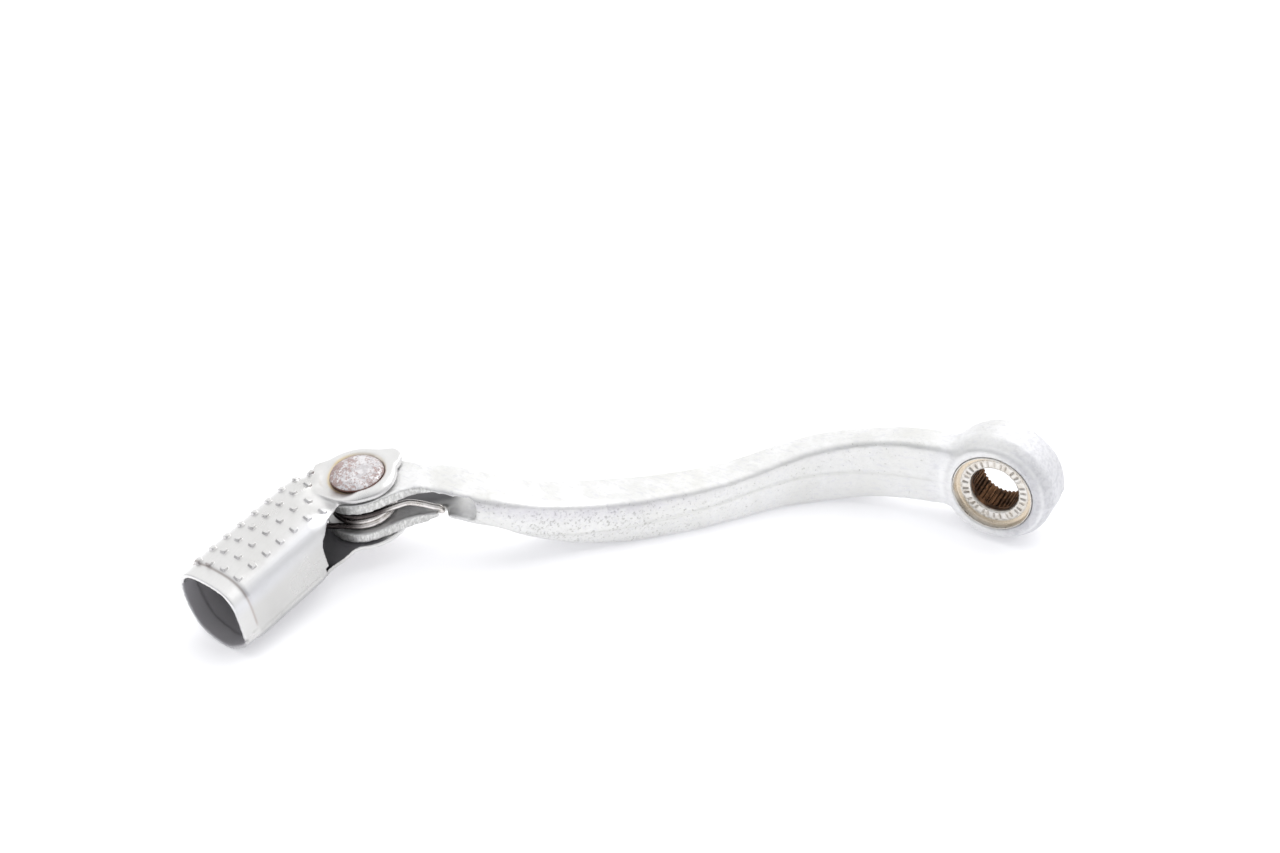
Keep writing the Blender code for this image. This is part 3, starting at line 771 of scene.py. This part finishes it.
def build_bush():
    """Pressed-in bush: proud rim, serrated face, lead-in and internal splines."""
    draw = random.Random(11)
    marks = []
    for i in range(SERRATIONS):
        marks.append((2.0 * math.pi * (i + draw.uniform(-0.18, 0.18)) / SERRATIONS,
                      draw.uniform(0.45, 1.0), draw.uniform(-0.25, 0.25)))
    rim = [(BUSH_R, BUSH_DEEP), (BUSH_R, -4.0), (BUSH_R, 0.4), (BUSH_R, 1.12), (8.42, 1.28),
           (8.34, 1.36), (8.24, 1.34), (8.18, 1.2), (8.14, 0.9), (8.10, 0.45),
           (8.05, 0.16), (7.95, 0.04), (7.8, 0.0), (7.5, 0.0), (7.32, 0.0),
           (7.24, -0.08), (7.16, -0.08), (7.08, 0.02)]
    face = [(6.9, 0.06), (6.65, 0.07), (6.4, 0.07), (6.1, 0.07), (5.85, 0.07),
            (5.65, 0.06), (5.5, 0.03)]
    bore = SPLINE_MINOR_R
    mouth = [(5.38, -0.02), (5.2, -0.18), (5.08, -0.42), (bore, -0.7),
             (bore, -SPLINE_LEAD + 0.06), (5.07, -SPLINE_LEAD)]
    teeth = [(bore, height) for height in (-SPLINE_LEAD - 0.02, -3.2, -5.0, -6.6,
                                           BUSH_DEEP + 0.9)]
    back = [(5.75, BUSH_DEEP + 0.35), (6.15, BUSH_DEEP), (7.2, BUSH_DEEP)]
    profile = rim + face + mouth + teeth + back
    face_from, teeth_from = len(rim), len(rim) + len(face) + len(mouth)
    levels = {}

    def shape(row, radius, height, angle):
        if face_from <= row < face_from + len(face):
            depth = 0.0
            place = (row - face_from) / (len(face) - 1)
            for centre, strength, lean in marks:
                gap = (angle - centre - lean * 0.05 * (place - 0.5)
                       + math.pi) % (2.0 * math.pi) - math.pi
                width = 0.028 + 0.012 * (1.0 - place)
                if abs(gap) < 4.0 * width:
                    depth += strength * math.exp(-(gap / width) ** 2)
            fade = min(1.0, place * 5.0 + 0.3) * min(1.0, (1.0 - place) * 4.0 + 0.25)
            levels[(row, round(angle, 5))] = min(1.0, depth * fade)
            height -= SERRATION_DEPTH * depth * fade
        elif teeth_from <= row < teeth_from + len(teeth):
            phase = (angle * SPLINE_TEETH / (2.0 * math.pi)) % 1.0
            rise = min(1.0, max(0.0, (0.29 - abs(phase - 0.5)) / 0.13))
            radius = SPLINE_MINOR_R + (SPLINE_MAJOR_R - SPLINE_MINOR_R) * rise
        return radius, height

    bush = turned("spline_bush_ring", profile, BUSH_STEPS, SHAFT, shape)
    mesh = bush.data
    points = local(points_of(mesh), SHAFT)
    radius = np.hypot(points[:, 0], points[:, 1])
    row = np.arange(len(points)) // BUSH_STEPS
    dark = np.zeros(len(points))
    for (at, angle), value in levels.items():
        index = at * BUSH_STEPS + round(angle * BUSH_STEPS / (2.0 * math.pi)) % BUSH_STEPS
        dark[index] = value
    worn = np.exp(-((points[:, 1] + 6.0) / 4.0) ** 2) * 0.35
    dark += worn * (row >= face_from) * (row < face_from + len(face)) \
        * np.clip(waves(points, 0.7, 8) + 0.2, 0.0, 1.0)
    # Depth of the serration notches, for dirt and painted shade in them.
    paint(mesh, "marks", np.clip(dark, 0.0, 1.0))
    paint(mesh, "ring", ramp(radius, 7.2, 7.3) * ramp(-radius, -8.12, -8.0) * (row < face_from))
    # Rust and painted shade down the bore.
    paint(mesh, "bore", ramp(-points[:, 2], 0.25, 0.7) * ramp(-radius, -6.2, -5.9))
    shade(mesh, 40)
    mesh.materials.append(bush_steel())
    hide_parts("spline_bush")
    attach(bush, "lever")


# ---------------------------------------------------------------- the toe piece

def smooth_path(points, steps):
    """Run a smooth curve through points."""
    out = []
    last = len(points) - 1
    for i in range(last):
        p0, p1, p2, p3 = (points[max(0, min(last, i + k))] for k in (-1, 0, 1, 2))
        for k in range(steps):
            t = k / steps
            out.append(tuple(
                0.5 * (2 * b + (c - a) * t + (2 * a - 5 * b + 4 * c - d) * t * t
                       + (3 * b - a - 3 * c + d) * t ** 3)
                for a, b, c, d in zip(p0, p1, p2, p3)))
    out.append(tuple(points[-1]))
    return out


def opened(out, across, high):
    """How far the tube has opened: the top of its far side opens nearer the pin."""
    early = OPENING_EARLY * min(1.0, max(0.0, (-1.0 - across) / 5.5)) if high else 0.0
    return float(ramp(out - OPENING_FROM + early, 0.0, OPENING_LENGTH))


def toe_section(out, grow):
    """Ribbon of sheet at a distance from the pin: outer path, then the inner one."""
    top = (EAR_TOP - 0.2 - TUBE_MIDDLE) / (TUBE[TUBE_HIGHEST][1] - TUBE_MIDDLE)
    low = (UNDER_EAR - TUBE_MIDDLE) / (TUBE[TUBE_LOWEST][1] - TUBE_MIDDLE)
    path = []
    for i, (x, z) in enumerate(TUBE):
        factor = top if z > TUBE_MIDDLE else low
        share = opened(out, x, z > TUBE_MIDDLE)
        z = TUBE_MIDDLE + (z - TUBE_MIDDLE) * (factor + (1.0 - factor) * share)
        x = TUBE_ACROSS + (x - TUBE_ACROSS) * (TUBE_NARROW + (1.0 - TUBE_NARROW) * share)
        if i > TUBE_LOWEST:
            z = path[TUBE_LOWEST][1] + (z - path[TUBE_LOWEST][1]) * share
        path.append((x, z))
    path[0] = (path[0][0], path[0][1] + 2.0 * (1.0 - opened(out, 0.0, False)))
    path = [Vector((x, z, 0.0)) for x, z in smooth_path(path, 3)]
    outer, inner = [], []
    for i, here in enumerate(path):
        step = path[min(len(path) - 1, i + 1)] - path[max(0, i - 1)]
        inward = Vector((-step.y, step.x, 0.0)).normalized()
        outer.append(here + inward * grow)
        inner.append(here + inward * (SHEET + grow))
    return [(p.x, -out, p.y) for p in outer + inner[::-1]]


def ear_shape(row, radius, height, angle):
    """Upper ear: a ring bead that fades into a slope on the side of the tube."""
    toward = float(ramp(math.cos(angle - DISH_WAY) - 0.25, 0.0, 0.55))
    if row in EAR_RING_ROWS:
        share = max(0.0, (radius - HEAD_R) / EAR_RING_WIDTH)
        slope = -0.25 + 1.55 * share ** 1.3
        height = height * (1.0 - toward) + slope * toward
        radius += 1.3 * toward * share
    return radius, height


def nub_spots():
    """Middles of the nubs, across the toe and away from its pin."""
    return np.array([(across, i * NUB_PITCH - first)
                     for across, first, count in NUB_ROWS for i in range(count)])


def raise_nubs(mesh):
    """Raise the rows of pressed nubs out of the sheet."""
    spots = nub_spots()
    bm = bmesh.new()
    bm.from_mesh(mesh)
    inverse = PIN.inverted()
    chosen = set()
    for edge in bm.edges:
        middle = inverse @ ((edge.verts[0].co + edge.verts[1].co) / 2.0) / MM
        if middle.z < NUB_FLOOR:
            continue
        gap = np.abs(spots - np.array((middle.x, middle.y))).max(axis=1).min()
        if gap < NUB_NEAR:
            chosen.add(edge)
    bmesh.ops.subdivide_edges(bm, edges=list(chosen), cuts=2, use_grid_fill=True)
    bm.normal_update()
    moves = []
    for vert in bm.verts:
        p = inverse @ vert.co / MM
        if p.z < NUB_FLOOR:
            continue
        n = inverse.to_3x3() @ vert.normal
        if n.z < 0.15:
            continue
        gaps = np.abs(spots - np.array((p.x, p.y)))
        gap = gaps.max(axis=1)
        best = int(gap.argmin())
        if gap[best] > NUB_HALF:
            continue
        dx, dy = gaps[best]
        reach = (dx ** 4 + dy ** 4) ** 0.25
        rise = NUB_RISE * float(ramp(NUB_HALF - reach, 0.0, NUB_FLANK))
        moves.append((vert, vert.normal * rise * MM))
    for vert, move in moves:
        vert.co += move
    bm.to_mesh(mesh)
    bm.free()


def nub_sides(pin, normals):
    """Painted shade on the sides of the nubs that face the open end or the near wall."""
    sides = np.zeros(len(pin))
    x, y, z = pin.T
    top = (z > NUB_FLOOR) & (normals[:, 2] > 0.0)
    for across, along in nub_spots():
        dx = x - across
        dy = y - along
        reach = (dx ** 4 + dy ** 4) ** 0.25
        away = np.clip((0.45 * dx - dy) / 0.6, 0.0, 1.0)
        sides = np.maximum(sides, bell(reach - NUB_HALF + 0.08, 0.12) * away * top)
    return sides


def toe_tube():
    """Rolled tube with its collar, its openings cut and the fork's room kept clear."""
    places = [(out, 0.0) for out in (3.0, 5.5, *range(8, 18), 20.0, 24.0, 28.0, 32.0, 35.0)]
    edge = TOE_LENGTH - COLLAR
    places += [(edge - 0.5, 0.0), (edge - 0.2, 0.1), (edge + 0.1, COLLAR_STEP - 0.08),
               (edge + 0.4, COLLAR_STEP), (TOE_LENGTH - 1.0, COLLAR_STEP),
               (TOE_LENGTH, COLLAR_STEP)]
    tube = add_object("tube", skin("tube", [toe_section(*p) for p in places],
                                   around=False), PIN)
    far = oblong(-14.0, -8.0, 2.0, -6.5)
    fold = [(0.6, -7.0), (5.0, -7.0), (5.0, -11.2), (0.6, -10.4)]
    low, high = FORK_ROOM
    tools = [prism("near_notch", NEAR_NOTCH, 1.6, 14.0, ACROSS),
             prism("lip", LIP, -16.0, -8.8, PIN), prism("far", far, -11.4, -1.4, PIN),
             prism("ear_clear", circle(EAR_CLEAR_R, 64), -20.0, 6.0, PIN),
             prism("fork_clear", circle(FORK_CLEAR_R, 64), low, high, PIN),
             prism("fold_clear", fold, low, high - 0.1, PIN)]
    return cut(tube, tools, "tube")


def toe_additions():
    """What joins the tube: both ears, the beak and its stop, the seam and the rim."""
    ear = turned("ear", [
        (EAR_HOLE_R, -0.25), (5.5, -0.25), (5.58, 0.1), (5.75, 0.42), (6.1, 0.68), (6.55, 0.8),
        (7.05, 0.76), (7.5, 0.54), (7.9, 0.14), (EAR_R, -0.35), (EAR_R, -0.85),
        (7.85, EAR_UNDER + 0.12), (7.2, EAR_UNDER), (EAR_HOLE_R, EAR_UNDER)],
        128, PIN, ear_shape)
    under = turned("under", [
        (EAR_HOLE_R, -11.7), (8.2, -11.7), (8.3, -11.9), (8.3, UNDER_EAR + 0.2),
        (8.1, UNDER_EAR), (EAR_HOLE_R, UNDER_EAR)], 96, PIN)
    tongue = prism("beak", BEAK, EAR_UNDER, 0.45, PIN)
    stop = prism("stop_tab", STOP_TAB, -4.2, -0.45, FORK)
    seam = prism("seam", oblong(-17.4, 1.6 - TOE_LENGTH, -10.7, -8.9), 4.4, 5.08, ACROSS)
    rim = prism("rim", oblong(0.8 - TOE_LENGTH, COLLAR - TOE_LENGTH, -10.8, -8.8),
                4.05, 4.8, ACROSS)
    return [baked(o, o.name) for o in (ear, under, tongue, stop, seam, rim)]


def smooth_toe(mesh):
    """Take the voxels out of the sheet, most at the ears' roots and on the near wall."""
    fine = TOE_TRIED / TOE_VOXEL
    relax(mesh, 1.0, int(6 * fine), keep_volume=True)
    x, y, z = local(points_of(mesh), PIN).T
    reach = np.hypot(x, y)
    joint = bell(reach - 8.6, 1.3) * ramp(-y, 2.0, 5.0) * ramp(z, -3.0, -1.0)
    root = bell(reach - 8.0, 1.2) * ramp(y, 1.0, 4.0) * ramp(z, -1.5, -0.3)
    relax(mesh, np.clip(joint + root * 0.8, 0.0, 1.0), int(36 * fine * fine))
    wall = ramp(x, 3.6, 4.2) * ramp(-y, 16.5, 18.0) * ramp(y, -36.2, -35.4)
    wall *= ramp(z, -12.0, -11.0)
    relax(mesh, wall, int(50 * fine * fine), keep_volume=True)
    relax(mesh, 1.0, int(2 * fine))


def paint_toe(mesh):
    """Painted shade where the sheet is hollow or shaded, painted highlights where it is bright,
    and stains, all in the pin's frame.
    """
    pin = local(points_of(mesh), PIN)
    x, y, z = pin.T
    normals = normals_of(mesh) @ np.array(PIN.to_3x3())
    reach = np.hypot(x, y)
    middle = np.array((TUBE_ACROSS, TUBE_MIDDLE))
    inward = middle - pin[:, [0, 2]]
    inward /= np.maximum(np.linalg.norm(inward, axis=1), 0.1)[:, None]
    facing = (normals[:, [0, 2]] * inward).sum(axis=1)
    # Painted shade inside the tube.
    inside = ramp(facing, -0.05, 0.35) * ramp(-y, 1.5, 4.0) * ramp(-z, 0.9, 1.3)
    above = ramp(z, -0.6, -0.3)
    # Painted reflection along the shoulder above the near wall.
    shoulder_sheen = bell(x - 3.6 + 0.06 * (y + 20.0), 1.3) * ramp(z, -4.5, -2.0)
    paint(mesh, "inside", inside)
    lip = ramp(-z, 10.5, 12.0) * ramp(y, -15.5, -12.0)
    paint(mesh, "depth", ramp(y, -36.0, -21.0) * (1.0 - 0.45 * lip))
    # Painted shade: the near wall, facing across the toe, is darker.
    wall = ramp(normals[:, 0], 0.55, 0.9) * ramp(-y, 9.0, 13.0) * (1.0 - inside)
    # Painted shade along the rolled lower edge and on the ear ring's outer slope.
    below = ramp(-z, 9.9, 10.7) * ramp(-y, 15.0, 17.0) * (1.0 - inside)
    sloped = ramp(-normals[:, 2], -0.85, -0.4) * ramp(z, -1.5, -1.1)
    sloped *= ramp(y, -8.5, -7.0) * ramp(reach, 6.6, 7.2)
    paint(mesh, "underside_shade", below + 0.55 * sloped)
    paint(mesh, "wall", wall * (1.0 - 0.45 * ramp(-y, 36.3, 36.9)))
    # Painted shadow along the step of the collar.
    collar_step_shadow = bell(y + TOE_LENGTH - COLLAR + 0.1, 0.2)
    paint(mesh, "collar_step_shadow", collar_step_shadow * (1.0 - inside) * ramp(z, -9.0, -7.0))
    paint(mesh, "nub_shade", nub_sides(pin, normals))
    # Painted highlight on the ear's ring, the beak, the collar and the tube's top, less on the
    # dish.
    highlight = ramp(-reach, -8.4, -7.4) * ramp(z, -0.1, 0.25)
    highlight = np.maximum(highlight, ramp(y, 4.5, 6.5) * ramp(z, -0.1, 0.25))
    highlight = np.maximum(highlight, ramp(-y, 36.5, 36.9) * ramp(z, -3.0, 0.0) * 0.8)
    highlight = np.maximum(highlight, 0.35 * ramp(-y, 9.0, 12.0) * ramp(normals[:, 2], 0.6, 0.9))
    dish = ramp(np.cos(np.arctan2(y, x) - DISH_WAY), 0.3, 0.8)
    highlight *= 1.0 - 0.7 * dish * ramp(-reach, -9.5, -8.5)
    paint(mesh, "highlight", highlight * (1.0 - inside))
    paint(mesh, "shoulder", shoulder_sheen * ramp(-y, 9.0, 13.0) * (1.0 - inside))
    left = -0.8 * x - 0.6 * y
    paint(mesh, "stain", bell(reach - 5.75, 0.3) * above * (0.4 + 0.6 * ramp(left, -1.0, 4.0)))
    paint(mesh, "seam", ramp(-reach, -5.62, -5.5) * above)


def build_toe():
    """Pressed toe piece: rolled tube, dished ear, lower ear, stop tab and nubs."""
    mesh = merged([toe_tube()] + toe_additions(), "toe_sheet", TOE_VOXEL)
    smooth_toe(mesh)
    raise_nubs(mesh)
    paint_toe(mesh)
    shade(mesh)
    toe = add_object("toe_sheet", mesh)
    toe.data.materials.append(satin_stainless())
    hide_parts("toe_piece")
    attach(toe, "toe")


# ---------------------------------------------------------------- the pivot

def build_rivet():
    """Domed rivet with a worn head and a riveted tail."""
    dome = []
    for i in range(HEAD_RINGS + 1):
        angle = math.radians(90.0 * i / HEAD_RINGS)
        radius = max(HEAD_R * math.sin(angle) ** 0.92, AXIS_R)
        dome.append((radius, HEAD_EDGE + (HEAD_TOP - HEAD_EDGE) * math.cos(angle) ** 1.1))
    dome[-1] = (HEAD_R, HEAD_EDGE)
    under_head = [(HEAD_R - 0.03, 0.0), (HEAD_R - 0.15, -0.1), (HEAD_R - 0.4, -0.16), (3.6, -0.16)]
    shank = [(SHANK_R, -0.17), (SHANK_R, -4.0), (SHANK_R, -8.0), (SHANK_R, UNDER_EAR - 0.16)]
    tail = [(radius, UNDER_EAR - drop) for radius, drop in (
        (3.4, 0.17), (TAIL_R - 0.1, 0.17), (TAIL_R, 0.3), (TAIL_R - 0.05, 0.6),
        (TAIL_R - 0.4, 0.95), (3.4, 1.2), (2.4, 1.35), (1.5, 1.25), (0.6, 1.2), (AXIS_R, 1.2))]
    profile = dome + under_head + shank + tail
    rivet = turned("pivot_rivet_domed", profile, 128, PIN)
    mesh = rivet.data
    points = points_of(mesh)
    x, y, z = local(points, PIN).T
    normals = normals_of(mesh)
    reach = np.hypot(x, y)
    shown = ramp(z, 0.2, 0.8) + ramp(-z, -UNDER_EAR + 0.3, -UNDER_EAR + 0.6)
    dents = waves(points, 1.7, 4) * 0.07 + waves(points, 0.7, 6) * 0.03
    set_points(mesh, points + normals * (dents * shown)[:, None])
    low_side = ramp(0.6 * x - 0.8 * y, -3.0, 2.5)
    paint(mesh, "rim", np.where(z > -1.0, ramp(reach, 5.1, 5.55) * low_side, 0.4))
    left = -0.9 * x - 0.2 * y
    paint(mesh, "worn", np.clip(ramp(left, -0.5, 5.0) + 0.5 * ramp(reach, 4.2, 5.5), 0.0, 1.0))
    shade(mesh, 50)
    mesh.materials.append(rusty_rivet_steel())
    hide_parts("pivot_rivet")
    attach(rivet, "toe")


def build_sleeve():
    """Turned sleeve round the rivet's shank."""
    high = SLEEVE_TOP - SLEEVE_CHAMFER
    low = SLEEVE_LOW + SLEEVE_CHAMFER
    sleeve = turned("pivot_sleeve_turned", [
        (SLEEVE_BORE_R, high), (3.3, SLEEVE_TOP), (3.85, SLEEVE_TOP), (SLEEVE_R, high),
        (SLEEVE_R, -4.5), (SLEEVE_R, -8.5), (SLEEVE_R, low), (3.85, SLEEVE_LOW),
        (3.3, SLEEVE_LOW), (SLEEVE_BORE_R, low)], 96, PIN)
    shade(sleeve.data, 40)
    sleeve.data.materials.append(sleeve_steel())
    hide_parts("pivot_sleeve")
    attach(sleeve, "toe")


def wire(name, points):
    """Round wire along points of the pin's frame, with rounded ends."""
    curve = bpy.data.curves.new(name, "CURVE")
    curve.dimensions = "3D"
    curve.bevel_depth = WIRE_R * MM
    curve.bevel_resolution = 5
    curve.use_fill_caps = True
    line = curve.splines.new("POLY")
    ends = []
    for tip, inner in ((points[0], points[1]), (points[-1], points[-2])):
        away = (tip - inner).normalized()
        ends.append([(tip + away * WIRE_R * s, r) for s, r in ((0.45, 0.35), (0.38, 0.66),
                                                              (0.22, 0.88), (0.0, 1.0))])
    path = ends[0] + [(p, 1.0) for p in points[1:-1]] + ends[1][::-1]
    line.points.add(len(path) - 1)
    for slot, (point, radius) in zip(line.points, path):
        slot.co = (*(point * MM), 1.0)
        slot.radius = radius
    obj = bpy.data.objects.new(name, curve)
    bpy.context.scene.collection.objects.link(obj)
    obj.matrix_world = PIN
    mesh = baked(obj, name)
    bm = bmesh.new()
    bm.from_mesh(mesh)
    bmesh.ops.remove_doubles(bm, verts=bm.verts, dist=0.000001)
    bm.to_mesh(mesh)
    bm.free()
    shade(mesh, 60)
    return add_object(name, mesh)


def shade_wire(mesh, top):
    """Paint the wire dark where it lies deep under the upper plate or in the tube."""
    points = points_of(mesh)
    pin = local(points, PIN)
    fork = local(points, FORK)
    under = ramp(pin[:, 2], top - 0.95, top - 0.5) * ramp(-fork[:, 0], -6.5, -3.5)
    paint(mesh, "shade", np.clip(under + ramp(-pin[:, 1], 4.5, 6.5), 0.0, 1.0))


def build_spring():
    """Torsion spring: its coils, and the leg held by the arm."""
    turn = math.radians(ARM_ANGLE)
    arm_way = Vector((math.cos(turn), math.sin(turn), 0.0))
    near = Vector((arm_way.y, -arm_way.x, 0.0))
    low = SLOT_BOTTOM + WIRE_R + WIRE_GAP
    top = low + COIL_PITCH * COIL_TURNS
    route = [(15.25, 4.1, SLOT_BOTTOM - 0.5), (15.25, 4.1, SLOT_BOTTOM),
             (15.05, 4.08, SLOT_BOTTOM + 0.45), (14.6, 4.03, SLOT_BOTTOM + 0.75),
             (13.9, 4.0, SLOT_BOTTOM + 0.95), (11.6, 4.0, SLOT_BOTTOM + 2.2),
             (9.0, 4.3, SLOT_BOTTOM + 3.35), (6.0, 5.1, SLOT_BOTTOM + 3.5),
             (2.7, 5.85, top + 0.06), (0.0, COIL_R, top)]
    leg = [arm_way * along + near * across + Vector((0.0, 0.0, height))
           for along, across, height in smooth_path(route, 4)]
    start = math.atan2(near.y, near.x)
    steps = round(COIL_TURNS * COIL_STEPS)
    coil = []
    for i in range(steps + 1):
        part = COIL_TURNS * i / steps
        angle = start - 2.0 * math.pi * part
        coil.append(Vector((COIL_R * math.cos(angle), COIL_R * math.sin(angle),
                            top - COIL_PITCH * part)))
    last = coil[-1]
    tangent = Vector((last.y, -last.x, 0.0)).normalized()
    tail = [last + tangent * s + Vector((0.0, 0.0, TAIL_SLOPE * s))
            for s in (0.5, 1.5, 3.0, 5.0, 7.0, 9.0, 11.0)]
    metal = spring_wire()
    held = wire("return_spring_leg", leg)
    shade_wire(held.data, top)
    held.data.materials.append(metal)
    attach(held, "lever")
    wound = wire("return_spring_coil", coil + tail)
    shade_wire(wound.data, top)
    wound.data.materials.append(metal)
    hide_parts("return_spring")
    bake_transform(wound)


# ---------------------------------------------------------------- studio

def build_surroundings():
    """White studio, darker ahead of the lever and near the horizon."""
    world = bpy.data.worlds.new("studio")
    bpy.context.scene.world = world
    world.use_nodes = True
    n = Nodes(world.node_tree)
    split = n.add("ShaderNodeSeparateXYZ", {0: n.add("ShaderNodeTexCoord").outputs["Generated"]})
    front = n.math("MULTIPLY", split.outputs["Y"], -1.0)
    share = n.add("ShaderNodeMapRange", {"Value": front, "From Min": -0.2, "From Max": 0.9})
    grey = n.add("ShaderNodeValToRGB", {0: share.outputs[0]})
    grey.color_ramp.elements[0].color = (1.0, 1.0, 1.0, 1.0)
    grey.color_ramp.elements[1].color = (0.60, 0.61, 0.63, 1.0)
    rise = n.step(split.outputs["Z"], 0.02, 0.50, out_low=0.34)
    level = n.add("ShaderNodeMix", {0: n.step(front, -0.35, 0.35), 2: 1.0, 3: rise})
    light = n.add("ShaderNodeVectorMath", {0: grey.outputs[0], "Scale": level.outputs[0]},
                  operation="SCALE")
    background = n.tree.nodes["Background"]
    n.tree.links.new(light.outputs[0], background.inputs["Color"])
    background.inputs["Strength"].default_value = 1.0


def build_floor():
    """Pale floor that glows a little, so that its shadows stay light."""
    bm = bmesh.new()
    bmesh.ops.create_grid(bm, x_segments=2, y_segments=2, size=FLOOR_HALF)
    mesh = bpy.data.meshes.new("floor")
    bm.to_mesh(mesh)
    bm.free()
    floor = add_object("floor", mesh, Matrix.Translation((0.0, 0.0, -FLOOR_GAP * MM)))
    s = Surface("white_floor", 0.0, 0.7)
    s.colour = s.mix(s.noise(400.0, 2.0), (0.62, 0.62, 0.625), (0.64, 0.64, 0.645))
    floor.data.materials.append(s.finished(
        Emission_Color=(0.96, 0.96, 1.0, 1.0), Emission_Strength=0.34, Specular_IOR_Level=0.1))


def build_lamps():
    """Soft boxes aimed at the lever."""
    for name, spot, size, power, seen in LAMPS:
        lamp = bpy.data.lights.new(name, "AREA")
        lamp.shape = "RECTANGLE"
        lamp.size, lamp.size_y = size
        lamp.energy = power
        obj = bpy.data.objects.new(name, lamp)
        bpy.context.scene.collection.objects.link(obj)
        obj.location = spot
        obj.rotation_euler = (-Vector(spot)).to_track_quat("-Z", "Y").to_euler()
        obj.visible_glossy = seen


def build_camera():
    """Camera at the photograph's viewing angle."""
    scene = bpy.context.scene
    turn = math.radians(CAMERA_TURN)
    pitch = math.radians(CAMERA_PITCH)
    right = Vector((math.cos(turn), math.sin(turn), 0.0))
    level = Vector((-math.sin(turn), math.cos(turn), 0.0))
    ahead = level * math.cos(pitch) + Vector((0.0, 0.0, -math.sin(pitch)))
    up = right.cross(ahead)
    camera = bpy.data.cameras.new("camera")
    camera.sensor_width = 36.0
    camera.lens = CAMERA_LENS
    camera.clip_start = 0.01
    obj = bpy.data.objects.new("camera", camera)
    scene.collection.objects.link(obj)
    place = Matrix((right, up, -ahead)).transposed().to_4x4()
    hub = SHAFT.translation
    place.translation = Vector((hub.x, hub.y, 0.0)) + Vector(CAMERA_FROM_HUB) * MM
    obj.matrix_world = place
    scene.camera = obj


build_camera()
build_arm()
build_bush()
build_toe()
build_rivet()
build_sleeve()
build_spring()
build_floor()
build_surroundings()
build_lamps()
bpy.context.scene.view_settings.view_transform = "Standard"
